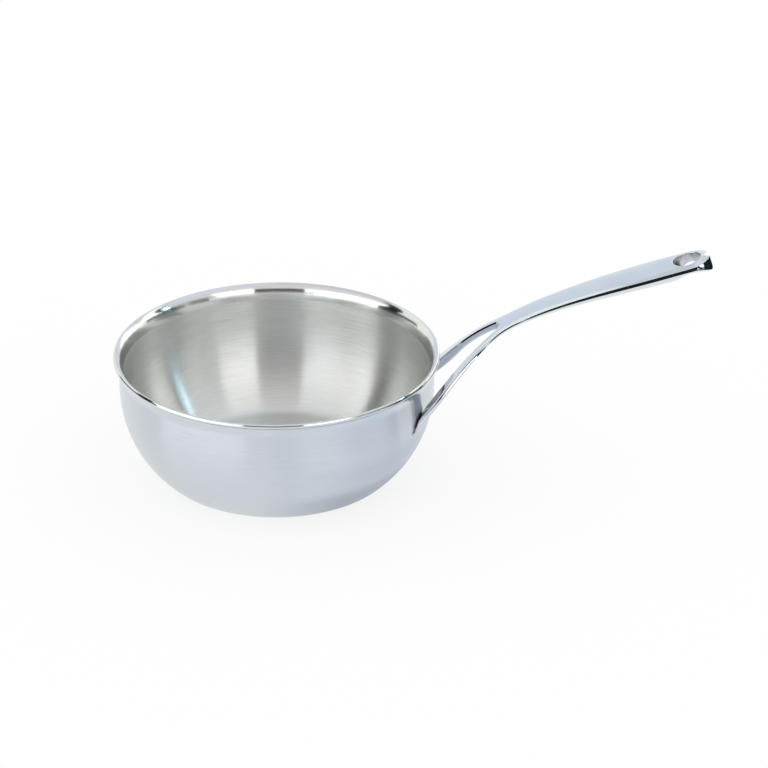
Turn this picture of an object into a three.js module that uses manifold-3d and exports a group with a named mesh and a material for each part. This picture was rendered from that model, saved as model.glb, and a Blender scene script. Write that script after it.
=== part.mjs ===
// Saute pan: a clad bowl with a flared lip, and a cast forked handle welded to it at two feet.
// Millimetres, +Z up. The origin is the centre of the flat base; the handle points along +X.
import * as THREE from "three";
import { mergeVertices } from "three/addons/utils/BufferGeometryUtils.js";
import Module from "manifold-3d";

const wasm = await Module();
wasm.setup();

// Bowl
const BOWL_INNER_DIAMETER = 200;
const BOWL_HEIGHT = 85.7;
const BELLY_RADIUS = 77.6;
const BELLY_ANGLE = THREE.MathUtils.degToRad(48.8);
const BASE_CORNER_RADIUS = 13;
const LIP_RADIUS = 3;
const LIP_ANGLE = THREE.MathUtils.degToRad(70);
const LIP_FLAT = 1.3;
const LIP_EDGE = 1.2;

// Plies of the clad wall, from the cooking side outwards
const LINER_THICKNESS = 0.6;
const BOND_THICKNESS = 0.3;
const CORE_THICKNESS = 1.0;
const SKIN_THICKNESS = 0.6;
const PLY_GAP = 0.02;

// Handle in side view: one curve along its top, from inside the wall to the tip
const FOOT_INSET = 25.8;
const FOOT_DROP = 48.9;
const FOOT_SLOPE = THREE.MathUtils.degToRad(48.1);
const FOOT_PULL = 94.1;
const HANDLE_REACH = 175.8;
const TIP_RISE = 78.3;
const TIP_SLOPE = THREE.MathUtils.degToRad(17.6);
const TIP_PULL = 165.5;

// Handle in plan: half widths, and distances from the outside of the wall
const FORK_LENGTH = 41.5;
const CROTCH_RADIUS = 8;
const FORK_SPREAD = 0.56;
const FOOT_HALF_SPAN = 43.8;
const ARM_HALF_SPAN = 36.6;
const ARM_DISTANCE = 4.2;
const FORK_HALF_SPAN = 25.1;
const FORK_DISTANCE = 20;
const CROTCH_HALF_WIDTH = 12.9;
const NECK_HALF_WIDTH = 11.1;
const NECK_DISTANCE = 62;
const GRIP_HALF_WIDTH = 14.2;
const GRIP_DISTANCE = 132;

// Handle's thickness: the full depth, and the thin edge left along the sides
const FOOT_DEPTH = 5.2;
const ARM_DEPTH = 6.2;
const FORK_DEPTH = 4.7;
const NECK_DEPTH = 7;
const GRIP_DEPTH = 10.7;
const TIP_DEPTH = 10.8;
const FOOT_EDGE = 2.7;
const FORK_EDGE = 3;
const GRIP_EDGE = 1.6;

// How far the outer edge of the top lies below its middle; at the feet it stands above
const FOOT_CROWN = -0.6;
const CROTCH_CROWN = 1;
const GRIP_CROWN = 0.6;

// Hanging hole, and the metal left round it
const HOLE_DIAMETER = 18.3;
const HOLE_RIM = 4.65;

// Welds between the handle's feet and the wall
const WELD_THICKNESS = 1.2;
const WELD_PROUD = 0.8;
const FIT_GAP = 0.3;

// Facets
const ROUND_SEGMENTS = 48;
const CORNER_STEPS = 2;
const BELLY_STEPS = 4;
const LIP_STEPS = 2;
const EDGE_STEPS = 4;
const TOP_STEPS = 4;
const UNDERSIDE_STEPS = 5;
const ARM_STEPS = 14;
const CROTCH_STEPS = 4;
const GRIP_STEPS = 14;
const END_STEPS = 6;
const HOLE_SEGMENTS = 28;

const { cos, sin, sqrt, PI } = Math;
const { lerp, clamp } = THREE.MathUtils;

// Sizes that follow from those above
const outerBondDepth = SKIN_THICKNESS + BOND_THICKNESS;
const coreDepth = outerBondDepth + CORE_THICKNESS;
const innerBondDepth = coreDepth + BOND_THICKNESS;
const wallThickness = innerBondDepth + LINER_THICKNESS;
const wallRadius = BOWL_INNER_DIAMETER / 2 + wallThickness;
const baseRadius = wallRadius - BELLY_RADIUS * (1 - cos(BELLY_ANGLE)) - BASE_CORNER_RADIUS * cos(BELLY_ANGLE);
const bellyCentreHeight = BELLY_RADIUS * sin(BELLY_ANGLE) + BASE_CORNER_RADIUS * (1 - sin(BELLY_ANGLE));
const lipRise = (LIP_RADIUS + wallThickness) * sin(LIP_ANGLE) + (LIP_FLAT + LIP_EDGE / 2) * cos(LIP_ANGLE);
const lipStart = BOWL_HEIGHT - lipRise;
const lipOut = new THREE.Vector2(sin(LIP_ANGLE), cos(LIP_ANGLE));
const endRadius = HOLE_DIAMETER / 2 + HOLE_RIM;
const tipX = wallRadius + HANDLE_REACH;
const holeX = tipX - endRadius * cos(TIP_SLOPE);
const crotchX = wallRadius + FORK_LENGTH;
const forkAngle = Math.atan(FORK_SPREAD);
const crotchReach = CROTCH_RADIUS * (1 - sin(forkAngle));
const footX = wallRadius - FOOT_INSET;

// Solids

function solidFrom(geometry) {
  const bare = geometry.clone();
  for (const name of ["normal", "uv"]) {
    bare.deleteAttribute(name);
  }
  const merged = mergeVertices(bare, 1e-4);
  const triVerts = new Uint32Array(merged.index.array);
  return new wasm.Manifold(
    new wasm.Mesh({ numProp: 3, vertProperties: merged.attributes.position.array, triVerts }),
  );
}

function geometryFrom(solid) {
  const mesh = solid.getMesh();
  return new THREE.BufferGeometry()
    .setAttribute("position", new THREE.BufferAttribute(mesh.vertProperties, 3))
    .setIndex(new THREE.BufferAttribute(mesh.triVerts, 1));
}

// Bowl

function arc(centre, radius, from, to, steps) {
  const points = [];
  for (let i = 1; i <= steps; i += 1) {
    const angle = lerp(from, to, i / steps);
    points.push(new THREE.Vector2(centre.x + radius * cos(angle), centre.y + radius * sin(angle)));
  }
  return points;
}

// The bowl's surface at a depth below its outside, from the axis out and up along the flat of the lip.
function bowlSurface(depth, lipFlat = LIP_FLAT) {
  const corner = new THREE.Vector2(baseRadius, BASE_CORNER_RADIUS);
  const belly = new THREE.Vector2(wallRadius - BELLY_RADIUS, bellyCentreHeight);
  const lip = new THREE.Vector2(wallRadius + LIP_RADIUS, lipStart);
  const points = [
    new THREE.Vector2(0, depth),
    new THREE.Vector2(baseRadius, depth),
    ...arc(corner, BASE_CORNER_RADIUS - depth, -PI / 2, -BELLY_ANGLE, CORNER_STEPS),
    ...arc(belly, BELLY_RADIUS - depth, -BELLY_ANGLE, 0, BELLY_STEPS),
    new THREE.Vector2(wallRadius - depth, lipStart),
    ...arc(lip, LIP_RADIUS + depth, PI, PI - LIP_ANGLE, LIP_STEPS),
  ];
  points.push(points.at(-1).clone().addScaledVector(lipOut, lipFlat));
  return points;
}

// The half-round edge of the lip, from the outside of the wall over to the cooking side.
function lipEdge() {
  const outside = bowlSurface(0).at(-1);
  const inside = bowlSurface(wallThickness).at(-1);
  const points = [];
  for (let i = 1; i < EDGE_STEPS; i += 1) {
    const angle = (PI * i) / EDGE_STEPS;
    const across = (1 - cos(angle)) / 2;
    points.push(outside.clone().lerp(inside, across).addScaledVector(lipOut, LIP_EDGE * sin(angle)));
  }
  return points;
}

function turned(profile) {
  return new THREE.LatheGeometry(profile, ROUND_SEGMENTS).rotateX(PI / 2);
}

// A ply between two depths. It stops just short of the liner's edge, which covers the ends of the stack.
function ply(outerDepth, innerDepth) {
  const end = LIP_FLAT - PLY_GAP;
  return turned([...bowlSurface(outerDepth, end), ...bowlSurface(innerDepth, end).reverse()]);
}

function liner() {
  const outerFace = bowlSurface(innerBondDepth + PLY_GAP);
  const cookingFace = bowlSurface(wallThickness).reverse();
  return turned([...outerFace, bowlSurface(0).at(-1), ...lipEdge(), ...cookingFace]);
}

// Everything inside the outer wall, grown by a gap: it trims what meets the wall.
function bowlEnvelope(gap) {
  const outline = bowlSurface(-gap);
  outline.push(new THREE.Vector2(0, outline.at(-1).y));
  return solidFrom(turned(outline));
}

// Handle

const topLine = new THREE.CubicBezierCurve(
  new THREE.Vector2(footX, BOWL_HEIGHT - FOOT_DROP),
  new THREE.Vector2(footX + FOOT_PULL * cos(FOOT_SLOPE), BOWL_HEIGHT - FOOT_DROP + FOOT_PULL * sin(FOOT_SLOPE)),
  new THREE.Vector2(tipX - TIP_PULL * cos(TIP_SLOPE), BOWL_HEIGHT + TIP_RISE - TIP_PULL * sin(TIP_SLOPE)),
  new THREE.Vector2(tipX, BOWL_HEIGHT + TIP_RISE),
);

// The top line at a distance x from the bowl's axis, with the direction square to it.
function topLineAt(x) {
  let low = 0;
  let high = 1;
  for (let i = 0; i < 40; i += 1) {
    const middle = (low + high) / 2;
    if (topLine.getPoint(middle).x < x) {
      low = middle;
    } else {
      high = middle;
    }
  }
  const along = topLine.getTangent(low);
  return { point: topLine.getPoint(low), up: new THREE.Vector2(-along.y, along.x) };
}

// A smooth value through stations of [distance from the wall, value].
function through(stations, x) {
  const distance = clamp(x - wallRadius, stations[0][0], stations.at(-1)[0]);
  const last = stations.length - 1;
  const i = clamp(stations.findIndex(([d]) => d >= distance) - 1, 0, last - 1);
  const slope = (k) => {
    const [before, after] = [stations[Math.max(k - 1, 0)], stations[Math.min(k + 1, last)]];
    return (after[1] - before[1]) / (after[0] - before[0]);
  };
  const [d0, v0] = stations[i];
  const [d1, v1] = stations[i + 1];
  const span = d1 - d0;
  const t = (distance - d0) / span;
  const bend0 = (slope(i) * span - (v1 - v0)) * (1 - t);
  const bend1 = (v1 - v0 - slope(i + 1) * span) * t;
  return lerp(v0, v1, t) + t * (1 - t) * (bend0 + bend1);
}

const holeDistance = holeX - wallRadius;
const feet = -FOOT_INSET / 2;
const outerEdgeStations = [
  [feet, FOOT_HALF_SPAN],
  [ARM_DISTANCE, ARM_HALF_SPAN],
  [FORK_DISTANCE, FORK_HALF_SPAN],
  [FORK_LENGTH, CROTCH_HALF_WIDTH],
  [NECK_DISTANCE, NECK_HALF_WIDTH],
  [GRIP_DISTANCE, GRIP_HALF_WIDTH],
  [holeDistance, endRadius],
];
const depthStations = [
  [feet, FOOT_DEPTH],
  [ARM_DISTANCE, ARM_DEPTH],
  [FORK_DISTANCE, FORK_DEPTH],
  [NECK_DISTANCE, NECK_DEPTH],
  [GRIP_DISTANCE, GRIP_DEPTH],
  [HANDLE_REACH, TIP_DEPTH],
];
const edgeStations = [
  [feet, FOOT_EDGE],
  [ARM_DISTANCE, FOOT_EDGE],
  [FORK_DISTANCE, FORK_EDGE],
  [NECK_DISTANCE, GRIP_EDGE],
  [HANDLE_REACH, GRIP_EDGE],
];
const crownStations = [
  [ARM_DISTANCE, FOOT_CROWN],
  [FORK_LENGTH, CROTCH_CROWN],
  [GRIP_DISTANCE, GRIP_CROWN],
];

// Half the fork's slot: a round crotch, then tangent sides that hold their width inside the wall.
function slotHalf(x) {
  const past = crotchX - x;
  if (past <= 0) {
    return 0;
  }
  if (past < crotchReach) {
    return sqrt(CROTCH_RADIUS ** 2 - (CROTCH_RADIUS - past) ** 2);
  }
  const straight = Math.min(past, FORK_LENGTH - feet) - crotchReach;
  return CROTCH_RADIUS * cos(forkAngle) + FORK_SPREAD * straight;
}

function outerHalf(x) {
  const pastHole = (x - holeX) / cos(TIP_SLOPE);
  return pastHole > 0 ? sqrt(endRadius ** 2 - pastHole ** 2) : through(outerEdgeStations, x);
}

// One side of the handle's section at x, from the inner edge of the top, out, down and back underneath.
// Both faces are arched over the full width; the round end cuts them short.
function halfSection(x, side, grow = 0) {
  const { point, up } = topLineAt(x);
  const inner = Math.max(slotHalf(x) - grow, 0);
  const outer = outerHalf(x) + grow;
  const full = x > holeX ? endRadius + grow : outer;
  const crown = through(crownStations, x);
  const edge = crown + through(edgeStations, x) + grow;
  const depth = Math.max(through(depthStations, x) + grow, edge);
  const at = (y, below) =>
    new THREE.Vector3(point.x - up.x * (below - grow), side * y, point.y - up.y * (below - grow));
  const arch = (y) => ((y - inner) / (full - inner)) ** 2;
  const points = [];
  for (let i = 0; i <= TOP_STEPS; i += 1) {
    const y = lerp(inner, outer, i / TOP_STEPS);
    points.push(at(y, crown * arch(y)));
  }
  for (let i = 0; i <= UNDERSIDE_STEPS; i += 1) {
    const y = lerp(outer, inner, i / UNDERSIDE_STEPS);
    points.push(at(y, lerp(depth, edge, arch(y)) + grow));
  }
  return points;
}

// Joins sections of one side into faces. Where the slot parts the handle, its wall closes the side.
function addSide(corners, sections, side) {
  const triangle = (a, b, c) => corners.push(...(side > 0 ? [a, b, c] : [a, c, b]));
  const quad = (a, b, c, d) => {
    triangle(a, b, c);
    triangle(a, c, d);
  };
  const last = sections[0].points.length - 1;
  for (let k = 0; k + 1 < sections.length; k += 1) {
    const { points: near, parted } = sections[k];
    const far = sections[k + 1].points;
    for (let j = 0; j < last; j += 1) {
      quad(near[j], far[j], far[j + 1], near[j + 1]);
    }
    if (parted) {
      quad(near[last], far[last], far[0], near[0]);
    }
  }
  const foot = sections[0].points;
  const tip = sections.at(-1).points;
  for (let j = 1; j < last; j += 1) {
    triangle(foot[0], foot[j], foot[j + 1]);
    triangle(tip[0], tip[j + 1], tip[j]);
  }
}

function loft(stations, sides, grow = 0, alwaysParted = false) {
  const corners = [];
  for (const side of sides) {
    const sections = stations.map((x) => ({
      points: halfSection(x, side, grow),
      parted: alwaysParted || x < crotchX,
    }));
    addSide(corners, sections, side);
  }
  return solidFrom(new THREE.BufferGeometry().setFromPoints(corners));
}

function evenly(from, to, steps) {
  return Array.from({ length: steps }, (_, i) => lerp(from, to, i / steps));
}

const lastTurn = PI / 2 - PI / 2 / (3 * END_STEPS);
const handleStations = [
  ...evenly(footX, crotchX - crotchReach, ARM_STEPS),
  ...evenly(forkAngle, PI / 2, CROTCH_STEPS).map((angle) => crotchX - CROTCH_RADIUS * (1 - sin(angle))),
  ...evenly(crotchX, holeX, GRIP_STEPS),
  ...evenly(0, 1, END_STEPS).map((t) => holeX + endRadius * cos(TIP_SLOPE) * sin(t * lastTurn)),
  holeX + endRadius * cos(TIP_SLOPE) * sin(lastTurn),
];

function hangingHole() {
  const { point, up } = topLineAt(holeX);
  const radius = HOLE_DIAMETER / 2;
  const pin = new THREE.CylinderGeometry(radius, radius, 4 * GRIP_DEPTH, HOLE_SEGMENTS);
  const axis = new THREE.Vector3(up.x, 0, up.y);
  pin.applyQuaternion(new THREE.Quaternion().setFromUnitVectors(new THREE.Vector3(0, 1, 0), axis));
  pin.translate(point.x, 0, point.y);
  return solidFrom(pin);
}

function handle() {
  const casting = loft(handleStations, [1, -1]);
  const trim = bowlEnvelope(2 * FIT_GAP + WELD_THICKNESS);
  return geometryFrom(casting.subtract(trim).subtract(hangingHole()));
}

function footWeld(side) {
  const stations = evenly(footX, wallRadius + ARM_DISTANCE, ARM_STEPS / 2);
  const foot = loft(stations, [side], WELD_PROUD, true);
  const bead = bowlEnvelope(FIT_GAP + WELD_THICKNESS).subtract(bowlEnvelope(FIT_GAP));
  return geometryFrom(foot.intersect(bead));
}

// Assembly

const pan = new THREE.Group();

function add(name, geometry, color, roughness) {
  const material = new THREE.MeshStandardMaterial({ color, roughness, metalness: 1 });
  const mesh = new THREE.Mesh(geometry, material);
  mesh.name = name;
  pan.add(mesh);
}

add("inner_liner", liner(), 0xc4c2be, 0.3);
add("inner_bond_layer", ply(coreDepth + PLY_GAP, innerBondDepth), 0xb9bcc0, 0.5);
add("aluminium_core", ply(outerBondDepth + PLY_GAP, coreDepth), 0xc3c6c9, 0.5);
add("outer_bond_layer", ply(SKIN_THICKNESS + PLY_GAP, outerBondDepth), 0xb9bcc0, 0.5);
add("outer_skin", ply(0, SKIN_THICKNESS), 0xc2c8d0, 0.2);
add("handle", handle(), 0xd0d4da, 0.08);
add("left_foot_weld", footWeld(1), 0xb0b3b8, 0.35);
add("right_foot_weld", footWeld(-1), 0xb0b3b8, 0.35);

export default pan;
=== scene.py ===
# Saute pan: its looks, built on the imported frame. Sizes are in millimetres until a mesh is made.
import math

import bmesh
import bpy
from mathutils import Matrix, Vector


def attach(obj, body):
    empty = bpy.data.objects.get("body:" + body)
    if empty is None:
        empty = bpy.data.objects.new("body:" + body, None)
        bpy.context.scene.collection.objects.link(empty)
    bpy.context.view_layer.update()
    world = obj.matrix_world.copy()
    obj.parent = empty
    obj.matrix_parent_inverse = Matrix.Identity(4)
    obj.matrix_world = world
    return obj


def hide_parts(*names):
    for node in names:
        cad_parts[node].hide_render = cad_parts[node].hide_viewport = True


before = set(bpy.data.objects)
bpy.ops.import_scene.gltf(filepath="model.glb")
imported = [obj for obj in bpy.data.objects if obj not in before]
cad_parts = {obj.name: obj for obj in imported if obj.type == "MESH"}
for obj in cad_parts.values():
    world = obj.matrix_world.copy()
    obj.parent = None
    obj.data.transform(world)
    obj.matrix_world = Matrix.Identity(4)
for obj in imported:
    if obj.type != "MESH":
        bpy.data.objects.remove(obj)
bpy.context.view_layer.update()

MM = 0.001
PI = math.pi

# Bowl
BOWL_HEIGHT = 84.7
WALL_THICKNESS = 2.8
WALL_RADIUS = 103
BELLY_RADIUS = 78.3
BELLY_ANGLE = math.radians(48.1)
BASE_CORNER_RADIUS = 13.4
FLARE_RADIUS = 12.5
FLARE_ANGLE = math.radians(25)
LIP_RADIUS = 3.8
LIP_ANGLE = math.radians(65)
LIP_FLAT = 0.3
LIP_BAND = 2
LIP_EDGE = 0.8
# Depths of the plies below the outside of the wall
SKIN_PLY = (0, 0.6)
OUTER_BOND_PLY = (0.62, 0.9)
CORE_PLY = (0.92, 1.9)
INNER_BOND_PLY = (1.92, 2.2)
LINER_BACK = 2.22
PLY_END_GAP = 0.02

# Handle in side view, from a start at the wall and at the height of the lip
START_RADIUS = 102.8
START_HEIGHT = 85.7
FOOT_INSET = 25.8
FOOT_DROP = 48.9
FOOT_SLOPE = math.radians(48.1)
FOOT_PULL = 94.1
HANDLE_REACH = 175.8
TIP_RISE = 78.3
TIP_SLOPE = math.radians(17.6)
TIP_PULL = 165.5

# Handle in plan: half widths, and distances from its start
FORK_LENGTH = 41.5
CROTCH_RADIUS = 8
FORK_SPREAD = 0.56
FOOT_HALF_SPAN = 43.8
ARM_HALF_SPAN = 36.6
ARM_DISTANCE = 4.2
FORK_HALF_SPAN = 25.1
FORK_DISTANCE = 20
CROTCH_HALF_WIDTH = 12.9
NECK_HALF_WIDTH = 11.1
NECK_DISTANCE = 62
GRIP_HALF_WIDTH = 14.2
GRIP_DISTANCE = 132
HOLE_RADIUS = 9.15
HOLE_SHIFT = -0.8
END_RADIUS = 13.8

# Handle's thickness, and how far the edge of its top lies below the middle
FOOT_DEPTH = 5.2
ARM_DEPTH = 6.2
FORK_DEPTH = 4.7
NECK_DEPTH = 7
GRIP_DEPTH = 10.7
TIP_DEPTH = 10.8
FOOT_EDGE = 3.3
FORK_EDGE = 3
CROTCH_EDGE = 1.1
NECK_EDGE = 1.3
GRIP_EDGE = 2.2
FOOT_DROOP = 0.6
CROTCH_DROOP = 1
GRIP_DROOP = 0.6
TIP_DROOP = 0.4
FOOT_CROWN = 0.6
CROTCH_CROWN = 1
GRIP_CROWN = 2.2
TIP_CROWN = 2.8
TIP_ARCH = 0.6

# Handle's leaning sides: where the draft starts, and where past the hole the sides turn upright
NECK_DRAFT = math.radians(24)
TIP_DRAFT = math.radians(20)
DRAFT_START = 22
DRAFT_LENGTH = 12
UPRIGHT_START = 5
UPRIGHT_END = 8
END_OUTSET = 0.25
END_FLARE = 6

# Handle's rounded edges, and the largest shares of its thickness that they take
GRIP_CREASE = 0.12
ARM_SHOULDER = 2
ARM_SHOULDER_BACK = 1.5
CREASE_SHARE = 0.7
SIDE_CORNER = 0.15
END_CORNER = 2.6
CORNER_SHARE = 0.45
SLOT_BEVEL = 1
HOLE_ROUND = 0.8
INNER_TOP_SHARE = 0.6
INNER_LOW_SHARE = 0.3
BORE_EDGE = 0.24

# Where the handle's sections change kind: past its start, past the crotch, and before the hole
ARM_START = 12
CROTCH_LEAD = 3
GRIP_START = 2
GRIP_LEAD = 2
APPROACH = 16.56
BACK_START = 12.42
BACK_LEAD = 0.5
HOLE_CLEARANCE = 1.28

# Welds
WELD_HEIGHT = 1.6
WELD_FLARE = 1.4
WELD_TOE = 4
WELD_GAP = 0.05
WELD_PROUD = 0.02
WELD_RIPPLE = 0.6
WELD_WAVE_UP = 2.1
WELD_WAVE_ACROSS = 1.5
WELD_PHASE = 1

# Mesh steps
MERGE_DISTANCE = 1e-7
NORMAL_STEP = 0.05
HALVINGS = 40
SEGMENTS = 192
BASE_STEPS = 12
CORNER_STEPS = 10
BELLY_STEPS = 30
WALL_STEPS = 6
FLARE_STEPS = 8
LIP_STEPS = 10
EDGE_STEPS = 12
ROUND_STEPS = 4
SHOULDER_STEPS = 7
TOP_STEPS = 14
TOP_PLACES = [0, 0.015] + [i / TOP_STEPS for i in range(1, TOP_STEPS)] + [0.985]
SIDE_PLACES = (0, 0.06, 0.3, 0.5, 0.7, 0.85, 0.94)
BEVEL_PLACES = (0, 0.08, 0.5, 0.92)
UNDERSIDE_STEPS = 14
INNER_STEPS = 4
FOOT_STEPS = 28
ARM_SAMPLES = 80
ARM_STEPS = 30
CROTCH_STEPS = 16
GRIP_STEPS = 70
APPROACH_STEPS = 5
BACK_STEPS = 14
END_STEPS = 22
WELD_LEVELS = 7

# Camera
CAMERA_AZIMUTH = math.radians(4.5)
CAMERA_ELEVATION = math.radians(26.631)
CAMERA_DISTANCE = 2600
CAMERA_TARGET = (70.268, 0, 63.333)
CAMERA_FOCAL_PIXELS = 3978.2
CAMERA_FAR = 50000
IMAGE_PIXELS = 768
SENSOR_WIDTH = 36

# Derived values
belly_in = BELLY_RADIUS * (1 - math.cos(BELLY_ANGLE))
base_radius = WALL_RADIUS - belly_in - BASE_CORNER_RADIUS * math.cos(BELLY_ANGLE)
belly_height = BELLY_RADIUS * math.sin(BELLY_ANGLE) + BASE_CORNER_RADIUS * (1 - math.sin(BELLY_ANGLE))
flare_rise = (FLARE_RADIUS + WALL_THICKNESS) * math.sin(FLARE_ANGLE)
curl_rise = (LIP_RADIUS + WALL_THICKNESS) * (math.sin(LIP_ANGLE) - math.sin(FLARE_ANGLE))
lip_start = BOWL_HEIGHT - flare_rise - curl_rise - (LIP_FLAT + LIP_EDGE / 2) * math.cos(LIP_ANGLE)
lip_out = Vector((math.sin(LIP_ANGLE), math.cos(LIP_ANGLE)))
tip_x = START_RADIUS + HANDLE_REACH
hole_x = tip_x - END_RADIUS * math.cos(TIP_SLOPE)
crotch_x = START_RADIUS + FORK_LENGTH
foot_x = START_RADIUS - FOOT_INSET
arm_start_x = START_RADIUS + ARM_START
grip_start_x = crotch_x + GRIP_START
approach_x = hole_x - APPROACH
back_x = hole_x - BACK_START
hole_back_x = hole_x + HOLE_SHIFT - HOLE_RADIUS - HOLE_CLEARANCE
fork_angle = math.atan(FORK_SPREAD)
crotch_reach = CROTCH_RADIUS * (1 - math.sin(fork_angle))
feet = -FOOT_INSET / 2


def lerp(a, b, t):
    return a + (b - a) * t


def clamp(value, low, high):
    return max(low, min(high, value))


def make_piece(name, points, faces):
    mesh = bpy.data.meshes.new(name)
    mesh.from_pydata([tuple(c * MM for c in p) for p in points], [], faces)
    shape = bmesh.new()
    shape.from_mesh(mesh)
    bmesh.ops.remove_doubles(shape, verts=shape.verts, dist=MERGE_DISTANCE)
    bmesh.ops.recalc_face_normals(shape, faces=shape.faces)
    shape.to_mesh(mesh)
    shape.free()
    mesh.shade_smooth()
    piece = bpy.data.objects.new(name, mesh)
    bpy.context.collection.objects.link(piece)
    return piece


# Bowl

def arc(centre, radius, start, end, steps):
    angles = [lerp(start, end, (i + 1) / steps) for i in range(steps)]
    return [Vector((centre[0] + radius * math.cos(a), centre[1] + radius * math.sin(a))) for a in angles]


# The bowl's surface at a depth below its outside, from the axis out and up along the flat of the lip.
def bowl_surface(depth, lip_flat=LIP_FLAT):
    points = [Vector((base_radius * i / BASE_STEPS, depth)) for i in range(BASE_STEPS + 1)]
    corner = (base_radius, BASE_CORNER_RADIUS)
    points += arc(corner, BASE_CORNER_RADIUS - depth, -PI / 2, -BELLY_ANGLE, CORNER_STEPS)
    belly = (WALL_RADIUS - BELLY_RADIUS, belly_height)
    points += arc(belly, BELLY_RADIUS - depth, -BELLY_ANGLE, 0, BELLY_STEPS)
    for i in range(WALL_STEPS):
        points.append(Vector((WALL_RADIUS - depth, lerp(belly_height, lip_start, (i + 1) / WALL_STEPS))))
    flare = Vector((WALL_RADIUS + FLARE_RADIUS, lip_start))
    points += arc(flare, FLARE_RADIUS + depth, PI, PI - FLARE_ANGLE, FLARE_STEPS)
    curl = flare + (FLARE_RADIUS - LIP_RADIUS) * Vector((-math.cos(FLARE_ANGLE), math.sin(FLARE_ANGLE)))
    points += arc(curl, LIP_RADIUS + depth, PI - FLARE_ANGLE, PI - LIP_ANGLE, LIP_STEPS)
    points.append(points[-1] + lip_out * lip_flat)
    return points


# The half-round edge of the lip, from the outside of the wall over to the cooking side.
def lip_edge():
    outside = bowl_surface(0)[-1]
    inside = bowl_surface(WALL_THICKNESS)[-1]
    points = []
    for i in range(1, EDGE_STEPS):
        angle = PI * i / EDGE_STEPS
        across = (1 - math.cos(angle)) / 2
        points.append(outside.lerp(inside, across) + lip_out * LIP_EDGE * math.sin(angle))
    return points


def lathe(name, profile):
    points = []
    rings = []
    for radius, z in profile:
        if radius == 0:
            rings.append([len(points)] * SEGMENTS)
            points.append((0, 0, z))
            continue
        rings.append([len(points) + s for s in range(SEGMENTS)])
        for s in range(SEGMENTS):
            angle = 2 * PI * s / SEGMENTS
            points.append((radius * math.cos(angle), radius * math.sin(angle), z))
    faces = []
    for low, high in zip(rings, rings[1:]):
        for s in range(SEGMENTS):
            n = (s + 1) % SEGMENTS
            faces.append(list(dict.fromkeys([low[s], low[n], high[n], high[s]])))
    return make_piece(name, points, faces)


# The cooking side and the lip. The faces of the lip have the second material.
def bowl_inside():
    back = bowl_surface(LINER_BACK)
    cooking_face = bowl_surface(WALL_THICKNESS)[::-1]
    piece = lathe("bowl_inside", back + [bowl_surface(0)[-1]] + lip_edge() + cooking_face)
    for face in piece.data.polygons:
        face.material_index = 1 if on_lip(face.center / MM) else 0
    return piece


def on_lip(point):
    band_start = WALL_RADIUS - WALL_THICKNESS + LIP_BAND
    return point[2] > lip_start and math.hypot(point[0], point[1]) > band_start


# A ply that ends just short of the lip's edge.
def bowl_ply(name, depths):
    end = LIP_FLAT - PLY_END_GAP
    return lathe(name, bowl_surface(depths[0], end) + bowl_surface(depths[1], end)[::-1])


# How far a point stands off the outside of the wall.
def off_wall(point):
    radius = math.hypot(point[0], point[1])
    if point[2] > belly_height:
        return radius - WALL_RADIUS
    return math.hypot(radius - WALL_RADIUS + BELLY_RADIUS, point[2] - belly_height) - BELLY_RADIUS


def wall_normal(point):
    radius = math.hypot(point[0], point[1])
    drop = min(point[2] - belly_height, 0)
    out = Vector((point[0] / radius, point[1] / radius, 0)) * (radius - WALL_RADIUS + BELLY_RADIUS)
    return (out + Vector((0, 0, drop))).normalized()


# Handle

foot_point = Vector((foot_x, START_HEIGHT - FOOT_DROP))
tip_point = Vector((tip_x, START_HEIGHT + TIP_RISE))
line_points = [
    foot_point,
    foot_point + FOOT_PULL * Vector((math.cos(FOOT_SLOPE), math.sin(FOOT_SLOPE))),
    tip_point - TIP_PULL * Vector((math.cos(TIP_SLOPE), math.sin(TIP_SLOPE))),
    tip_point,
]


def top_line(t):
    a, b, c, d = line_points
    s = 1 - t
    return a * s ** 3 + b * 3 * s * s * t + c * 3 * s * t * t + d * t ** 3


def top_line_along(t):
    a, b, c, d = line_points
    s = 1 - t
    return ((b - a) * s * s + (c - b) * 2 * s * t + (d - c) * t * t).normalized()


# The top line's point and direction at x.
def top_line_at(x):
    low, high = 0, 1
    for _ in range(HALVINGS):
        middle = (low + high) / 2
        if top_line(middle).x < x:
            low = middle
        else:
            high = middle
    return top_line(low), top_line_along(low)


# A point of the handle at x and y in plan, at a distance below the top line and square to it.
def handle_point(x, y, below):
    point, along = top_line_at(x)
    return Vector((point.x + along.y * below, y, point.y - along.x * below))


# A smooth value through stations of (distance from the handle's start, value).
def through(stations, x):
    distance = clamp(x - START_RADIUS, stations[0][0], stations[-1][0])
    last = len(stations) - 1
    i = 0
    while i < last - 1 and stations[i + 1][0] < distance:
        i += 1

    def slope(k):
        before = stations[max(k - 1, 0)]
        after = stations[min(k + 1, last)]
        return (after[1] - before[1]) / (after[0] - before[0])

    d0, v0 = stations[i]
    d1, v1 = stations[i + 1]
    span = d1 - d0
    t = (distance - d0) / span
    bend0 = (slope(i) * span - (v1 - v0)) * (1 - t)
    bend1 = (v1 - v0 - slope(i + 1) * span) * t
    return lerp(v0, v1, t) + t * (1 - t) * (bend0 + bend1)


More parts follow.
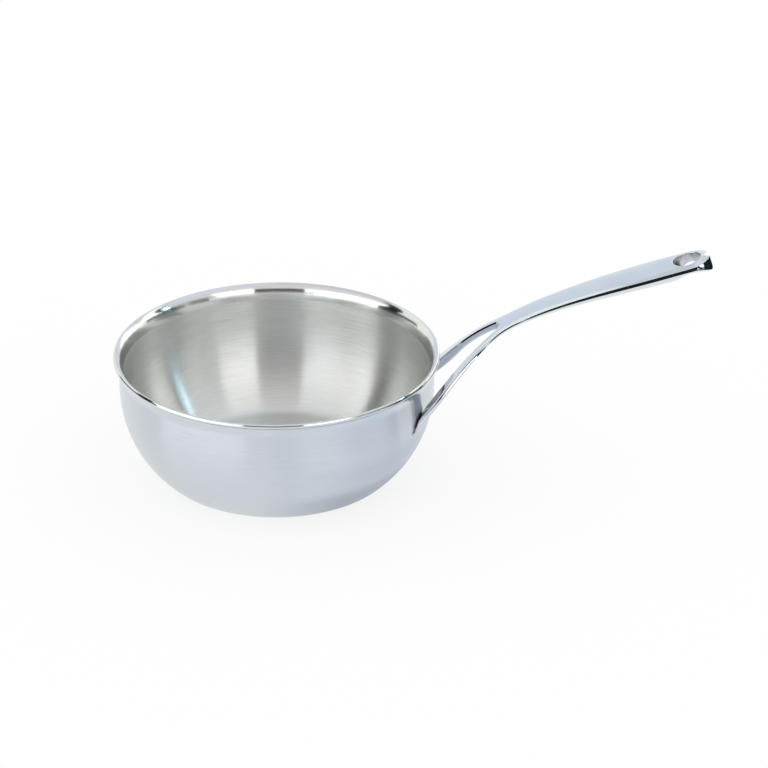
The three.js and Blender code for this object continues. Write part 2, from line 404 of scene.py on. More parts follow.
outer_stations = [
    (feet, FOOT_HALF_SPAN),
    (ARM_DISTANCE, ARM_HALF_SPAN),
    (FORK_DISTANCE, FORK_HALF_SPAN),
    (FORK_LENGTH, CROTCH_HALF_WIDTH),
    (NECK_DISTANCE, NECK_HALF_WIDTH),
    (GRIP_DISTANCE, GRIP_HALF_WIDTH),
    (hole_x - START_RADIUS, END_RADIUS),
]
depth_stations = [
    (feet, FOOT_DEPTH),
    (ARM_DISTANCE, ARM_DEPTH),
    (FORK_DISTANCE, FORK_DEPTH),
    (NECK_DISTANCE, NECK_DEPTH),
    (GRIP_DISTANCE, GRIP_DEPTH),
    (HANDLE_REACH, TIP_DEPTH),
]
edge_stations = [
    (feet, FOOT_EDGE),
    (ARM_DISTANCE, FOOT_EDGE),
    (FORK_DISTANCE, FORK_EDGE),
    (FORK_LENGTH, CROTCH_EDGE),
    (NECK_DISTANCE, NECK_EDGE),
    (GRIP_DISTANCE, GRIP_EDGE),
    (HANDLE_REACH, GRIP_EDGE),
]
droop_stations = [
    (ARM_DISTANCE, FOOT_DROOP),
    (FORK_LENGTH, CROTCH_DROOP),
    (GRIP_DISTANCE, GRIP_DROOP),
    (HANDLE_REACH, TIP_DROOP),
]
crown_stations = [
    (ARM_DISTANCE, FOOT_CROWN),
    (FORK_LENGTH, CROTCH_CROWN),
    (GRIP_DISTANCE, GRIP_CROWN),
    (HANDLE_REACH, TIP_CROWN),
]
crease_stations = [
    (FORK_DISTANCE, ARM_SHOULDER),
    (FORK_LENGTH, GRIP_CREASE),
]


def ease(x, start, end):
    t = clamp((x - start) / (end - start), 0, 1)
    return t * t * (3 - 2 * t)


# From 0 along the grip to 1 round the end, where the side wall is upright.
def upright_share(x):
    return ease(x, hole_x + UPRIGHT_START, hole_x + UPRIGHT_END)


# How far the foot of the side wall stands out past its top.
def side_outset(x, height):
    start = START_RADIUS + DRAFT_START
    draft = lerp(NECK_DRAFT, TIP_DRAFT, ease(x, crotch_x, hole_x))
    outset = height * math.tan(draft) * ease(x, start, start + DRAFT_LENGTH)
    return lerp(outset, END_OUTSET, upright_share(x))


# The power of the curve from the top of the side wall down to its foot.
def side_flare(x):
    return lerp(1, END_FLARE, upright_share(x))


# Half the width of the slot between the fork's arms, which ends in a round crotch.
def slot_half(x):
    past = crotch_x - x
    if past <= 0:
        return 0
    if past < crotch_reach:
        return math.sqrt(CROTCH_RADIUS ** 2 - (CROTCH_RADIUS - past) ** 2)
    straight = min(past, FORK_LENGTH - feet) - crotch_reach
    return CROTCH_RADIUS * math.cos(fork_angle) + FORK_SPREAD * straight


def outer_half(x):
    return through(outer_stations, min(x, hole_x))


# Where across the handle a point lies, from 0 at the inner edge to 1 at the full width, squared.
def arch(x, y, beyond=0):
    past = crotch_x - x
    inner = FORK_SPREAD * (past + math.sqrt(past ** 2 + CROTCH_RADIUS ** 2)) / 2
    full = outer_half(x)
    return (math.hypot(max(y - inner, 0), beyond) / (full - inner)) ** 2


# The top is domed over its width, and at the end over its radius. Its edge droops below the top line.
def top_below(x, y):
    beyond = max(x - hole_x, 0) / math.cos(TIP_SLOPE)
    return through(droop_stations, x) - through(crown_stations, x) * (1 - arch(x, y, beyond))


# The underside is arched over its width.
def under_below(x, y):
    edge = through(droop_stations, x) + through(edge_stations, x)
    depth = max(through(depth_stations, x), edge)
    sharpness = lerp(1, TIP_ARCH, ease(x, hole_x - END_RADIUS, hole_x))
    return lerp(depth, edge, min(arch(x, y), 1) ** sharpness)


# A curve that rounds off a corner.
def rounded(start, corner, end, steps):
    points = []
    for i in range(steps + 1):
        t = i / steps
        points.append(start * (1 - t) ** 2 + corner * 2 * t * (1 - t) + end * t * t)
    return points


# A section of one side of the handle, between a place on its inner edge and one on its outer edge.
# Each place has the direction from it into the metal. The outer edge has a crease above and a round below.
# Where the inner edge is a slot or a hole, it has a bevel or a round of the given size.
def section(inner, inner_into, outer, outer_into, corner, inner_edge=0, bevelled=False):
    def top(p):
        return Vector((p.x, p.y, top_below(p.x, p.y)))

    def under(p):
        return Vector((p.x, p.y, under_below(p.x, p.y)))

    edge_top = top(outer)
    height = under(outer).z - edge_top.z
    crease = min(through(crease_stations, outer.x), CREASE_SHARE * height)
    crease_back = crease * ARM_SHOULDER_BACK / ARM_SHOULDER
    corner = min(corner, CORNER_SHARE * height)
    outset = side_outset(outer.x, height)
    flare = side_flare(outer.x)

    def side(t):
        place = outer - outer_into * outset * t ** flare
        return Vector((place.x, place.y, edge_top.z + height * t))

    first = inner + inner_into * inner_edge
    last_top = outer + outer_into * crease_back
    last_under = outer + outer_into * corner
    points = [top(first.lerp(last_top, t)) for t in TOP_PLACES]
    points += rounded(top(last_top), edge_top, side(crease / height), SHOULDER_STEPS)[:-1]
    points += [side(lerp(crease / height, 1 - corner / height, t)) for t in SIDE_PLACES]
    points += rounded(side(1 - corner / height), side(1), under(last_under), ROUND_STEPS)
    points += [under(last_under.lerp(first, i / UNDERSIDE_STEPS)) for i in range(1, UNDERSIDE_STEPS + 1)]
    open_count = len(points)
    if inner_edge > 0:
        inner_top = top(inner)
        inner_low = under(inner)
        height = inner_low.z - inner_top.z
        lower = inner_low.lerp(inner_top, min(inner_edge / height, INNER_LOW_SHARE))
        upper = inner_top.lerp(inner_low, min(inner_edge / height, INNER_TOP_SHARE))
        points += rounded(points[-1], inner_low, lower, ROUND_STEPS)[1:]
        points += [lower.lerp(upper, i / INNER_STEPS) for i in range(1, INNER_STEPS)]
        if bevelled:
            points += [upper.lerp(top(first), t) for t in BEVEL_PLACES]
        else:
            points += rounded(upper, inner_top, top(first), ROUND_STEPS)[:-1]
    return [handle_point(*p) for p in points], open_count


def edge_normal(half, x, side):
    slope = (half(x + NORMAL_STEP) - half(x - NORMAL_STEP)) / (2 * NORMAL_STEP)
    return Vector((-slope, 1)).normalized() * side


def arm_section(x):
    inner = Vector((x, slot_half(x)))
    outer = Vector((x, outer_half(x)))
    return section(
        inner, edge_normal(slot_half, x, 1), outer, edge_normal(outer_half, x, -1),
        SIDE_CORNER, SLOT_BEVEL, True,
    )


def crotch_section(angle):
    around = Vector((math.sin(angle), math.cos(angle)))
    inner = Vector((crotch_x - CROTCH_RADIUS * (1 - around.x), CROTCH_RADIUS * around.y))
    share = (angle - fork_angle) / (PI / 2 - fork_angle)
    x = lerp(crotch_x - crotch_reach, crotch_x + CROTCH_LEAD, share)
    outer = Vector((x, outer_half(x)))
    return section(
        inner, around, outer, edge_normal(outer_half, x, -1),
        SIDE_CORNER, SLOT_BEVEL, True,
    )


def grip_section(inner_x, outer_x):
    outer = Vector((outer_x, outer_half(outer_x)))
    return section(
        Vector((inner_x, 0)), Vector((0, 1)), outer, edge_normal(outer_half, outer_x, -1),
        SIDE_CORNER,
    )


def hole_place(around):
    along = HOLE_RADIUS * around.x * math.cos(TIP_SLOPE)
    return Vector((hole_x + HOLE_SHIFT + along, HOLE_RADIUS * around.y))


def back_section(angle, outer_x):
    around = Vector((math.cos(angle), math.sin(angle)))
    inner = hole_place(around)
    outer = Vector((outer_x, outer_half(outer_x)))
    return section(
        inner, around, outer, edge_normal(outer_half, outer_x, -1),
        SIDE_CORNER, HOLE_ROUND,
    )


def end_section(angle):
    around = Vector((math.cos(angle), math.sin(angle)))
    flat = Vector((around.x * math.cos(TIP_SLOPE), around.y))
    centre = Vector((hole_x, 0))
    corner = lerp(SIDE_CORNER, END_CORNER, around.x ** 2)
    return section(
        hole_place(around), around, centre + flat * END_RADIUS, -around,
        corner, HOLE_ROUND,
    )


# Places along the lines of the arm where they stand a given distance off the wall.
def stops(lines, distance):
    found = []
    for line in lines:
        i = len(line) - 1
        while off_wall(line[i - 1]) > distance:
            i -= 1
        near, far = off_wall(line[i - 1]), off_wall(line[i])
        found.append(i - 1 + (distance - near) / (far - near))
    return found


def along_line(line, place):
    i = clamp(int(place), 0, len(line) - 2)
    return line[i].lerp(line[i + 1], place - i)


# Lines along the arm, from inside the wall out to where its plain sections start.
sample_places = [lerp(foot_x, arm_start_x, i / ARM_SAMPLES) for i in range(ARM_SAMPLES + 1)]
arm_lines = list(zip(*[arm_section(x)[0] for x in sample_places]))


# Sections of the foot: the first follows the wall, and they turn square to the arm.
def foot_sections():
    starts = stops(arm_lines, WELD_HEIGHT + WELD_GAP)
    rings = []
    for i in range(FOOT_STEPS):
        share = i / FOOT_STEPS
        rings.append([along_line(line, lerp(s, ARM_SAMPLES, share)) for line, s in zip(arm_lines, starts)])
    return rings


# All sections of one side. Those beside the slot and the hole are closed rings.
def handle_sections():
    rings = [(ring, True) for ring in foot_sections()]
    for i in range(ARM_STEPS):
        x = lerp(arm_start_x, crotch_x - crotch_reach, i / ARM_STEPS)
        rings.append((arm_section(x)[0], True))
    for i in range(CROTCH_STEPS + 1):
        angle = lerp(fork_angle, PI / 2, i / CROTCH_STEPS)
        rings.append((crotch_section(angle)[0], True))
    for i in range(GRIP_STEPS + 1):
        t = i / GRIP_STEPS
        inner_x = lerp(grip_start_x, approach_x, t)
        outer_x = lerp(grip_start_x + GRIP_LEAD, approach_x, t)
        rings.append((grip_section(inner_x, outer_x)[0], False))
    for i in range(1, APPROACH_STEPS + 1):
        t = i / APPROACH_STEPS
        inner_x = lerp(approach_x, hole_back_x, t)
        outer_x = lerp(approach_x, back_x, t)
        rings.append((grip_section(inner_x, outer_x)[0], False))
    for i in range(BACK_STEPS):
        t = i / BACK_STEPS
        outer_x = lerp(back_x + BACK_LEAD, hole_x, t)
        rings.append((back_section(lerp(PI, PI / 2, t), outer_x)[0], True))
    for i in range(END_STEPS + 1):
        angle = lerp(PI / 2, 0, i / END_STEPS)
        rings.append((end_section(angle)[0], True))
    return rings


# Both sides of the handle. The faces of the hole have the second material.
def handle():
    open_count = arm_section(arm_start_x)[1]
    rings = handle_sections()
    points = []
    faces = []
    for side in (1, -1):
        starts = []
        for ring, _ in rings:
            starts.append(len(points))
            points += [(p.x, side * p.y, p.z) for p in ring]
        for (near, near_closed), (_, far_closed), a, b in zip(rings, rings[1:], starts, starts[1:]):
            count = open_count - 1
            if near_closed and far_closed:
                count = len(near)
            for j in range(count):
                n = (j + 1) % len(near)
                faces.append([a + j, b + j, b + n, a + n])
        faces.append([starts[0] + j for j in range(len(rings[0][0]))])
    piece = make_piece("cast_handle", points, faces)
    for face in piece.data.polygons:
        face.material_index = 1 if in_bore(face.center / MM) else 0
    return piece


def in_bore(point):
    rim = handle_point(hole_x + HOLE_SHIFT, 0, 0)
    along = Vector((math.cos(TIP_SLOPE), 0, math.sin(TIP_SLOPE)))
    return math.hypot((point - rim).dot(along), point.y) < HOLE_RADIUS + BORE_EDGE


# The bead between a foot and the wall: it flares out onto the wall, with a slight ripple along it.
def foot_weld(name, side):
    points = []
    for level in range(WELD_LEVELS):
        share = level / (WELD_LEVELS - 1)
        height = lerp(WELD_GAP, WELD_HEIGHT, share)
        ring = [along_line(line, s) for line, s in zip(arm_lines, stops(arm_lines, height))]
        for j, point in enumerate(ring):
            along = ring[(j + 1) % len(ring)] - ring[j - 1]
            out = along.cross(wall_normal(point)).normalized()
            wave = math.sin(WELD_WAVE_UP * point.z) * math.sin(WELD_WAVE_ACROSS * point.y + WELD_PHASE)
            ripple = 1 + WELD_RIPPLE * wave
            flare = lerp(WELD_FLARE, WELD_TOE, max(-out.z, 0) ** 2)
            moved = point + out * (WELD_PROUD + flare * ripple * (1 - share) ** 2)
            points.append((moved.x, side * moved.y, moved.z))
    count = len(arm_lines)
    faces = []
    for level in range(WELD_LEVELS - 1):
        a, b = level * count, (level + 1) * count
        for j in range(count):
            n = (j + 1) % count
            faces.append([a + j, a + n, b + n, b + j])
    faces.append(list(range(count)))
    faces.append(list(range((WELD_LEVELS - 1) * count, WELD_LEVELS * count)))
    return make_piece(name, points, faces)


# Materials

LIP_ROUGH_SHARE = 0.5
LIP_GROOVE_SHARE = 0.04
LIP_FADE = 1
BRUSH_TURN = 0.25
# Scales of a pattern round the axis and along the way up the wall
GROOVE_SCALES = (4, 20000)
GROOVE_DETAIL = 1
STREAK_SCALES = (5, 800)
STREAK_DETAIL = 3
# Low and high values of noise, between which a colour or roughness changes
NOISE_RANGE = (0.3, 0.7)
GRAIN_RANGE = (0.35, 0.65)
CLOUD_SCALE = 40
CLOUD_DETAIL = 4
SMEAR_SCALE = 260
SMEAR_DETAIL = 3
CLOUD_BUMP = 0.05
CLOUD_DEPTH = 0.0004
GRAIN_DETAIL = 6
GRAIN_ROUGHNESS = 0.65
GRAIN_DEPTH = 0.0002


def new_material(name):
    material = bpy.data.materials.new(name)
    material.use_nodes = True
    nodes = material.node_tree.nodes
    return material, nodes, material.node_tree.links, nodes["Principled BSDF"]


def math_node(nodes, links, operation, a, b=0.0):
    node = nodes.new("ShaderNodeMath")
    node.operation = operation
    for socket, value in zip(node.inputs, (a, b)):
        if isinstance(value, (int, float)):
            socket.default_value = value
        else:
            links.new(value, socket)
    return node.outputs[0]


# Coordinates round the bowl's axis: the turn, and the way out along the base and up the wall.
def turned_coordinates(nodes, links, scales):
    turn_scale, way_scale = scales
    place = nodes.new("ShaderNodeTexCoord")
    split = nodes.new("ShaderNodeSeparateXYZ")
    links.new(place.outputs["Object"], split.inputs[0])
    x, y, z = split.outputs
    turn = math_node(nodes, links, "ARCTAN2", y, x)
    square = math_node(nodes, links, "ADD", math_node(nodes, links, "MULTIPLY", x, x),
                       math_node(nodes, links, "MULTIPLY", y, y))
    way = math_node(nodes, links, "ADD", math_node(nodes, links, "SQRT", square), z)
    join = nodes.new("ShaderNodeCombineXYZ")
    links.new(math_node(nodes, links, "COSINE", turn), join.inputs[0])
    links.new(math_node(nodes, links, "SINE", turn), join.inputs[1])
    links.new(math_node(nodes, links, "MULTIPLY", way, way_scale), join.inputs[2])
    scale = nodes.new("ShaderNodeVectorMath")
    scale.operation = "MULTIPLY"
    scale.inputs[1].default_value = (turn_scale, turn_scale, 1)
    links.new(join.outputs[0], scale.inputs[0])
    return scale.outputs[0]


def noise(nodes, links, vector, scale, detail, rough=0.5):
    node = nodes.new("ShaderNodeTexNoise")
    node.inputs["Scale"].default_value = scale
    node.inputs["Detail"].default_value = detail
    node.inputs["Roughness"].default_value = rough
    links.new(vector, node.inputs["Vector"])
    return node.outputs["Fac"]


# Colours at places along a value.
def ramp(nodes, links, value, stops_list):
    node = nodes.new("ShaderNodeValToRGB")
    elements = node.color_ramp.elements
    while len(elements) < len(stops_list):
        elements.new(1)
    for element, (place, colour) in zip(elements, stops_list):
        element.position = place
        element.color = (*colour, 1)
    links.new(value, node.inputs[0])
    return node.outputs[0]


# A change from dark to light over a range of a value.
def dark_to_light(nodes, links, value, value_range, dark, light):
    return ramp(nodes, links, value, list(zip(value_range, (dark, light))))


def spread(nodes, links, value, low, high):
    node = nodes.new("ShaderNodeMapRange")
    node.inputs["From Min"].default_value = NOISE_RANGE[0]
    node.inputs["From Max"].default_value = NOISE_RANGE[1]
    node.inputs["To Min"].default_value = low
    node.inputs["To Max"].default_value = high
    links.new(value, node.inputs["Value"])
    return node.outputs[0]


def bump(nodes, links, height, strength, distance):
    node = nodes.new("ShaderNodeBump")
    node.inputs["Strength"].default_value = strength
    node.inputs["Distance"].default_value = distance
    links.new(height, node.inputs["Height"])
    return node.outputs[0]


# A share by height: whole on the wall, and less on the polished lip.
def up_to_lip(nodes, links, lip_share):
    split = nodes.new("ShaderNodeSeparateXYZ")
    links.new(nodes.new("ShaderNodeTexCoord").outputs["Object"], split.inputs[0])
    fall = nodes.new("ShaderNodeMapRange")
    fall.inputs["From Min"].default_value = (lip_start - LIP_FADE) * MM
    fall.inputs["From Max"].default_value = (lip_start + LIP_FADE) * MM
    fall.inputs["To Min"].default_value = 1
    fall.inputs["To Max"].default_value = lip_share
    links.new(split.outputs[2], fall.inputs["Value"])
    return fall.outputs[0]


def vector_node(nodes, links, operation, a, b):
    node = nodes.new("ShaderNodeVectorMath")
    node.operation = operation
    links.new(a, node.inputs[0])
    links.new(b, node.inputs[1])
    return node.outputs[0]


# The surface's normal, leaned up and down the wall.
def leaned_normal(nodes, links, tangent, lean):
    normal = nodes.new("ShaderNodeNewGeometry").outputs["Normal"]
    upward = vector_node(nodes, links, "CROSS_PRODUCT", tangent, normal)
    scale = nodes.new("ShaderNodeVectorMath")
    scale.operation = "SCALE"
    links.new(upward, scale.inputs[0])
    links.new(lean, scale.inputs["Scale"])
    leaned = vector_node(nodes, links, "ADD", normal, scale.outputs[0])
    unit = nodes.new("ShaderNodeVectorMath")
    unit.operation = "NORMALIZE"
    links.new(leaned, unit.inputs[0])
    return unit.outputs[0]


# Noise shifted to lie about zero, times a strength.
def centred(nodes, links, value, strength):
    shifted = math_node(nodes, links, "SUBTRACT", value, 0.5)
    return math_node(nodes, links, "MULTIPLY", shifted, strength)


# Steel brushed round the bowl's axis: fine grooves that smear what it mirrors, and broader ripples.
def turned_steel(name, dark, light, rough, groove, ripple):
    material, nodes, links, shader = new_material(name)
    grooves = noise(nodes, links, turned_coordinates(nodes, links, GROOVE_SCALES), 1, GROOVE_DETAIL)
    streaks = noise(nodes, links, turned_coordinates(nodes, links, STREAK_SCALES), 1, STREAK_DETAIL)
    links.new(dark_to_light(nodes, links, streaks, NOISE_RANGE, dark, light), shader.inputs["Base Color"])
    brushed = spread(nodes, links, streaks, *rough)
    smoothed = math_node(nodes, links, "MULTIPLY", brushed, up_to_lip(nodes, links, LIP_ROUGH_SHARE))
    links.new(smoothed, shader.inputs["Roughness"])
    shader.inputs["Metallic"].default_value = 1
    shader.inputs["Anisotropic"].default_value = 1
    shader.inputs["Anisotropic Rotation"].default_value = BRUSH_TURN
    tangent = nodes.new("ShaderNodeTangent")
    tangent.direction_type = "RADIAL"
    tangent.axis = "Z"
    links.new(tangent.outputs[0], shader.inputs["Tangent"])
    fine = centred(nodes, links, grooves, groove)
    broad = centred(nodes, links, streaks, ripple)
    both = math_node(nodes, links, "ADD", fine, broad)
    lean = math_node(nodes, links, "MULTIPLY", both, up_to_lip(nodes, links, LIP_GROOVE_SHARE))
    links.new(leaned_normal(nodes, links, tangent.outputs[0], lean), shader.inputs["Normal"])
    return material


# Polished cast steel: near mirror, with a faint waviness left by the polishing.
def polished_steel(name, dark, light, rough):
    material, nodes, links, shader = new_material(name)
    place = nodes.new("ShaderNodeTexCoord").outputs["Object"]
    clouds = noise(nodes, links, place, CLOUD_SCALE, CLOUD_DETAIL)
    smears = noise(nodes, links, place, SMEAR_SCALE, SMEAR_DETAIL)
    links.new(dark_to_light(nodes, links, clouds, NOISE_RANGE, dark, light), shader.inputs["Base Color"])
    links.new(spread(nodes, links, smears, *rough), shader.inputs["Roughness"])
    shader.inputs["Metallic"].default_value = 1
    links.new(bump(nodes, links, clouds, CLOUD_BUMP, CLOUD_DEPTH), shader.inputs["Normal"])
    return material


# Ground metal: short scratches and pits.
def ground_metal(name, dark, light, rough, scale, strength):
    material, nodes, links, shader = new_material(name)
    place = nodes.new("ShaderNodeTexCoord").outputs["Object"]
    grain = noise(nodes, links, place, scale, GRAIN_DETAIL, GRAIN_ROUGHNESS)
    links.new(dark_to_light(nodes, links, grain, GRAIN_RANGE, dark, light), shader.inputs["Base Color"])
    links.new(spread(nodes, links, grain, *rough), shader.inputs["Roughness"])
    shader.inputs["Metallic"].default_value = 1
    links.new(bump(nodes, links, grain, strength, GRAIN_DEPTH), shader.inputs["Normal"])
    return material


cooking_steel = turned_steel(
    "cooking_steel", dark=(0.70, 0.71, 0.69), light=(0.76, 0.77, 0.75),
    rough=(0.29, 0.31), groove=0.8, ripple=0.1,
)
outer_steel = turned_steel(
    "outer_steel", dark=(0.60, 0.64, 0.68), light=(0.63, 0.67, 0.71),
    rough=(0.20, 0.23), groove=0.1, ripple=0.05,
)
lip_steel = turned_steel(
    "lip_steel", dark=(0.66, 0.67, 0.68), light=(0.70, 0.71, 0.72),
    rough=(0.29, 0.31), groove=0.8, ripple=0.1,
)
handle_steel = polished_steel(
    "handle_steel", dark=(0.635, 0.67, 0.705), light=(0.685, 0.72, 0.755),
    rough=(0.05, 0.09),
)
bore_steel = ground_metal(
    "bore_steel", dark=(0.54, 0.54, 0.56), light=(0.76, 0.77, 0.76),
    rough=(0.25, 0.35), scale=250, strength=0.08,
)
weld_steel = ground_metal(
    "weld_steel", dark=(0.55, 0.55, 0.55), light=(0.76, 0.77, 0.78),
    rough=(0.08, 0.18), scale=900, strength=0.3,
)
rolled_aluminium = ground_metal(
    "rolled_aluminium", dark=(0.70, 0.71, 0.72), light=(0.80, 0.81, 0.82),
    rough=(0.35, 0.5), scale=600, strength=0.1,
)


# Pieces

def finish_piece(piece, material, node):
    piece.data.materials.append(material)
    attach(piece, "root")
    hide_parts(node)


liner = bowl_inside()
finish_piece(liner, cooking_steel, "inner_liner")
liner.data.materials.append(lip_steel)
finish_piece(bowl_ply("bowl_outside", SKIN_PLY), outer_steel, "outer_skin")
hidden_plies = [
    ("outer_bond", OUTER_BOND_PLY, "outer_bond_layer"),
    ("core", CORE_PLY, "aluminium_core"),
    ("inner_bond", INNER_BOND_PLY, "inner_bond_layer"),
]
for name, depths, node in hidden_plies:
    finish_piece(bowl_ply(name, depths), rolled_aluminium, node)
cast_handle = handle()
finish_piece(cast_handle, handle_steel, "handle")
cast_handle.data.materials.append(bore_steel)
finish_piece(foot_weld("foot_weld_left", 1), weld_steel, "left_foot_weld")
finish_piece(foot_weld("foot_weld_right", -1), weld_steel, "right_foot_weld")


# Camera

def add_camera():
    a, e = CAMERA_AZIMUTH, CAMERA_ELEVATION
    back = Vector((math.sin(a) * math.cos(e), -math.cos(a) * math.cos(e), math.sin(e)))
    right = Vector((math.cos(a), math.sin(a), 0))
    up = back.cross(right)
    place = Vector(CAMERA_TARGET) * MM + back * CAMERA_DISTANCE * MM
    lens = bpy.data.cameras.new("camera")
    lens.sensor_width = SENSOR_WIDTH
    lens.lens = CAMERA_FOCAL_PIXELS * SENSOR_WIDTH / IMAGE_PIXELS
    lens.clip_end = CAMERA_FAR * MM
    camera = bpy.data.objects.new("camera", lens)
    turn = Matrix((right, up, back)).transposed().to_4x4()
    camera.matrix_world = Matrix.Translation(place) @ turn
    bpy.context.collection.objects.link(camera)
    bpy.context.scene.camera = camera


# Studio: a white floor and world, and painted screens round the pan that only its metal mirrors

WORLD_STRENGTH = 1.04
FLOOR_HALF = 4000
FLOOR_HEIGHT = -0.2
FLOOR_WHITE = 0.95
FLOOR_GLOW_SHARE = 0.8


# The rays that see the background as plain white.
def seen_factor(nodes, links):
    path = nodes.new("ShaderNodeLightPath")
    seen = math_node(nodes, links, "MAXIMUM", path.outputs["Is Camera Ray"], path.outputs["Is Glossy Ray"])
    return math_node(nodes, links, "MAXIMUM", seen, path.outputs["Is Transmission Ray"])


def add_world():
    world = bpy.data.worlds.new("studio")
    world.use_nodes = True
    nodes, links = world.node_tree.nodes, world.node_tree.links
    light = nodes["Background"]
    light.inputs["Color"].default_value = (1, 1, 1, 1)
    light.inputs["Strength"].default_value = WORLD_STRENGTH
    white = nodes.new("ShaderNodeBackground")
    white.inputs["Color"].default_value = (1, 1, 1, 1)
    white.inputs["Strength"].default_value = 1
    mix = nodes.new("ShaderNodeMixShader")
    links.new(seen_factor(nodes, links), mix.inputs[0])
    links.new(light.outputs[0], mix.inputs[1])
    links.new(white.outputs[0], mix.inputs[2])
    links.new(mix.outputs[0], nodes["World Output"].inputs["Surface"])
    bpy.context.scene.world = world


def flat_piece(name, left, right, near, far, height):
    corners = [(left, near), (right, near), (right, far), (left, far)]
    return make_piece(name, [(x, y, height) for x, y in corners], [[0, 1, 2, 3]])


def add_floor():
    floor = flat_piece("floor", -FLOOR_HALF, FLOOR_HALF, -FLOOR_HALF, FLOOR_HALF, FLOOR_HEIGHT)
    material, nodes, links, shader = new_material("floor_white")
    nodes.remove(shader)
    paper = nodes.new("ShaderNodeBsdfDiffuse")
    paper.inputs["Color"].default_value = (FLOOR_WHITE, FLOOR_WHITE, FLOOR_WHITE, 1)
    glow = nodes.new("ShaderNodeEmission")
    glow.inputs["Color"].default_value = (1, 1, 1, 1)
    share = math_node(nodes, links, "MULTIPLY", seen_factor(nodes, links), FLOOR_GLOW_SHARE)
    mix = nodes.new("ShaderNodeMixShader")
    links.new(share, mix.inputs[0])
    links.new(paper.outputs[0], mix.inputs[1])
    links.new(glow.outputs[0], mix.inputs[2])
    links.new(mix.outputs[0], nodes["Material Output"].inputs["Surface"])
    floor.data.materials.append(material)


SCREEN_STEP = math.radians(2)
SCREEN_ROWS = 10
SCREEN_LEAN = math.radians(32)
SCREEN_LEAN_HEIGHTS = (300, 900)
# Name, radius, turn from the camera to the right in degrees, height, colour and strength
SCREENS = [
    ("front_flag", 850, -20, 18, 250, 570, (0.5, 1.0, 0.9), 0.02),
    ("front_rose", 850, -20, 18, 570, 800, (1.0, 0.65, 0.65), 0.25),
    ("front_side_flag", 845, -28, -20, 230, 345, (0.5, 1.0, 0.9), 0.02),
    ("right_softbox", 850, 18, 46, 290, 740, (1.0, 0.99, 0.98), 2.3),
    ("right_grey", 850, 46, 83, 300, 580, (1.0, 1.0, 0.98), 0.65),
    ("right_upper", 850, 46, 83, 580, 1100, (1.0, 1.0, 1.0), 0.9),
    ("right_strip", 850, 83, 86, 430, 660, (0.6, 1.0, 1.2), 10),
    ("right_under_strip", 850, 83, 86, 300, 430, (0.7, 1.0, 0.95), 0.05),
    ("right_flag", 850, 86, 95, 300, 1100, (0.7, 1.0, 0.95), 0.05),
    ("right_pale", 850, 95, 118, 300, 1100, (1.0, 1.0, 0.98), 1.7),
    ("right_dim", 850, 118, 155, 0, 560, (0.95, 1.0, 0.97), 1.6),
    ("right_dim_upper", 850, 118, 155, 560, 1100, (0.93, 0.96, 1.0), 0.9),
    ("back_screen", 870, 160, 205, 0, 1100, (0.90, 0.96, 1.04), 0.94),
    ("left_grey", 850, -155, -100, 0, 1100, (0.97, 1.0, 0.95), 1.15),
    ("left_card", 845, -125, -100, 40, 320, (0.7, 1.0, 0.9), 0.02),
    ("left_flag", 850, -100, -81, 0, 1100, (0.7, 1.0, 0.9), 0.01),
    ("left_softbox", 850, -81, -36, 0, 660, (1.0, 0.99, 0.98), 2.2),
    ("left_lilac", 850, -36, -20, 0, 740, (0.94, 0.96, 1.0), 2.0),
    ("right_card", 700, 75, 135, -5, 100, (0.6, 0.9, 1.0), 0.02),
    ("right_low_near", 1100, 53, 79, 90, 400, (0.5, 1.0, 0.9), 0.03),
    ("right_glow", 1090, 56, 79, 0, 90, (1.0, 1.0, 1.0), 1.7),
    ("right_low", 1100, 79, 112, 0, 400, (0.5, 1.0, 0.9), 0.03),
]
# Name, left, right, near and far edge, height, colour and strength
FLAT_SCREENS = [
    ("overhead_front", -900, 900, -900, 60, 1150, (0.97, 0.96, 0.97), 0.95),
    ("overhead_back_left", -900, -30, 60, 900, 1150, (0.92, 0.96, 1.0), 0.84),
    ("overhead_back", -30, 900, 60, 900, 1150, (0.88, 0.95, 1.04), 1.02),
    ("tip_card", 262, 335, -125, -48, 185, (0.6, 0.9, 1.0), 0.02),
    ("floor_card", 340, 750, -60, 600, 0.35, (0.6, 0.9, 1.0), 0.02),
]
# A blue-grey sheet to the right of the pan and in front of the handle, painted with the shade on the floor
# there, which only the metal mirrors
FLOOR_SHADE_SHEET = ("floor_shade_sheet", -40, 700, -600, -25, 0.3)
# Distance to the right of the pan's axis in metres, and colour of the painted shade
SHADE_SHEET_FADE = [
    (0.0, (0.965, 0.965, 0.97)),
    (0.03, (0.90, 0.91, 0.94)),
    (0.1, (0.95, 0.97, 1.0)),
    (0.16, (0.86, 0.89, 0.95)),
    (0.3, (0.80, 0.84, 0.93)),
]
INNER_SHADE_FADE = [(0.005, (0.92, 0.92, 0.93)), (0.05, (0.60, 0.62, 0.67))]
OUTER_SHADE_FADE = [(0.04, (0.93, 0.94, 0.96)), (0.1, (0.78, 0.81, 0.89))]
# Name, height, inner and outer radius, turn from the camera to the right in degrees, and colours
FLOOR_SHADES = [
    ("inner_floor_shade", 0.4, 62, 93, -5, 180, INNER_SHADE_FADE),
    ("outer_floor_shade", 0.45, 93, 135, 10, 170, OUTER_SHADE_FADE),
]


# The turn of a screen's side at a height. It leans away from the camera, most at the sides.
def leaned_turn(turn, height):
    low, high = SCREEN_LEAN_HEIGHTS
    lean = SCREEN_LEAN * clamp((height - low) / (high - low), 0, 1) * math.sin(turn) ** 2
    return turn + math.copysign(lean, turn)


# Faces between rows of points that are each as long as the others.
def grid_faces(rows, columns):
    faces = []
    for i in range(rows - 1):
        for j in range(columns - 1):
            a = i * columns + j
            faces.append([a, a + 1, a + columns + 1, a + columns])
    return faces


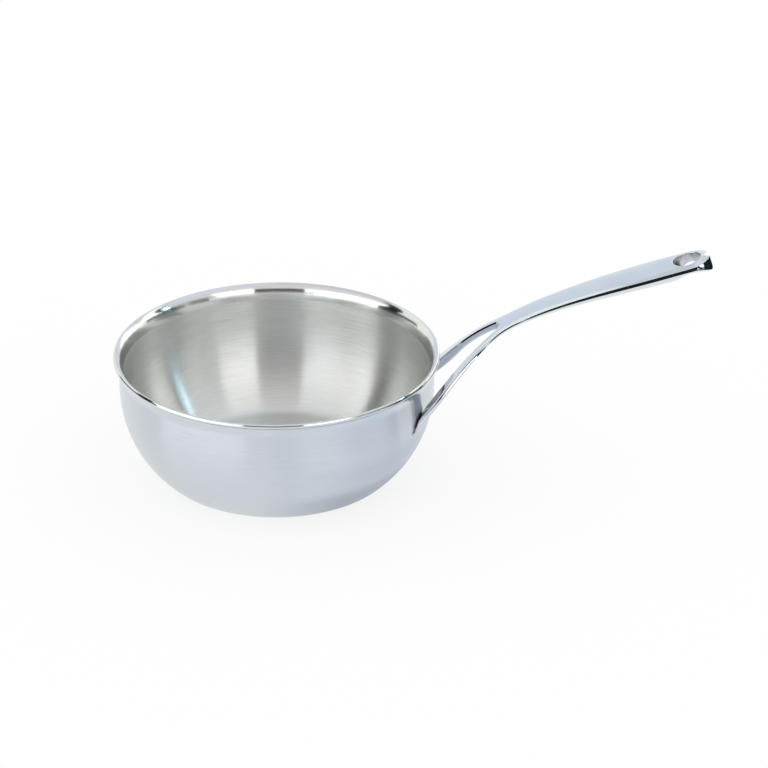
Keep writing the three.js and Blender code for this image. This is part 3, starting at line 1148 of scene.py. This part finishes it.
def around_pan(radius, turn, height):
    angle = CAMERA_AZIMUTH + turn
    return radius * math.sin(angle), -radius * math.cos(angle), height


# A curved screen that stands round the pan.
def add_screen(name, radius, left, right, bottom, top, colour, strength):
    steps = math.ceil(math.radians(right - left) / SCREEN_STEP)
    points = []
    for row in range(SCREEN_ROWS + 1):
        height = lerp(bottom, top, row / SCREEN_ROWS)
        for i in range(steps + 1):
            turn = math.radians(lerp(left, right, i / steps))
            points.append(around_pan(radius, leaned_turn(turn, height), height))
    screen = make_piece(name, points, grid_faces(SCREEN_ROWS + 1, steps + 1))
    add_glow(screen, colour, strength)


# Makes a screen glow, so that only the metal mirrors it.
def add_glow(screen, colour, strength):
    material, nodes, links, shader = new_material(screen.name)
    nodes.remove(shader)
    glow = nodes.new("ShaderNodeEmission")
    glow.inputs["Color"].default_value = (*colour, 1)
    glow.inputs["Strength"].default_value = strength
    links.new(glow.outputs[0], nodes["Material Output"].inputs["Surface"])
    screen.data.materials.append(material)
    screen.visible_camera = False
    screen.visible_diffuse = False
    screen.visible_shadow = False
    screen.visible_transmission = False
    return nodes, links, glow


def add_flat_screen(name, left, right, near, far, height, colour, strength):
    add_glow(flat_piece(name, left, right, near, far, height), colour, strength)


# Makes a sheet on the floor glow in a colour that changes to the right: painted shade on the floor, which
# only the metal mirrors.
def add_faded_glow(sheet, stops_list):
    nodes, links, glow = add_glow(sheet, (1, 1, 1), 1)
    split = nodes.new("ShaderNodeSeparateXYZ")
    links.new(nodes.new("ShaderNodeTexCoord").outputs["Object"], split.inputs[0])
    links.new(ramp(nodes, links, split.outputs[0], stops_list), glow.inputs["Color"])


# The shade under and round the belly: a part of a ring.
def add_floor_shade(name, height, inner, outer, left, right, stops_list):
    steps = math.ceil(math.radians(right - left) / SCREEN_STEP)
    points = []
    for radius in (inner, outer):
        for i in range(steps + 1):
            points.append(around_pan(radius, math.radians(lerp(left, right, i / steps)), height))
    add_faded_glow(make_piece(name, points, grid_faces(2, steps + 1)), stops_list)


add_camera()
add_world()
add_floor()
for screen in SCREENS:
    add_screen(*screen)
for screen in FLAT_SCREENS:
    add_flat_screen(*screen)
# Painted shade on the floor to the right of the pan, seen only in the metal's reflections
add_faded_glow(flat_piece(*FLOOR_SHADE_SHEET), SHADE_SHEET_FADE)
for shade in FLOOR_SHADES:
    add_floor_shade(*shade)
bpy.context.scene.view_settings.view_transform = "Standard"
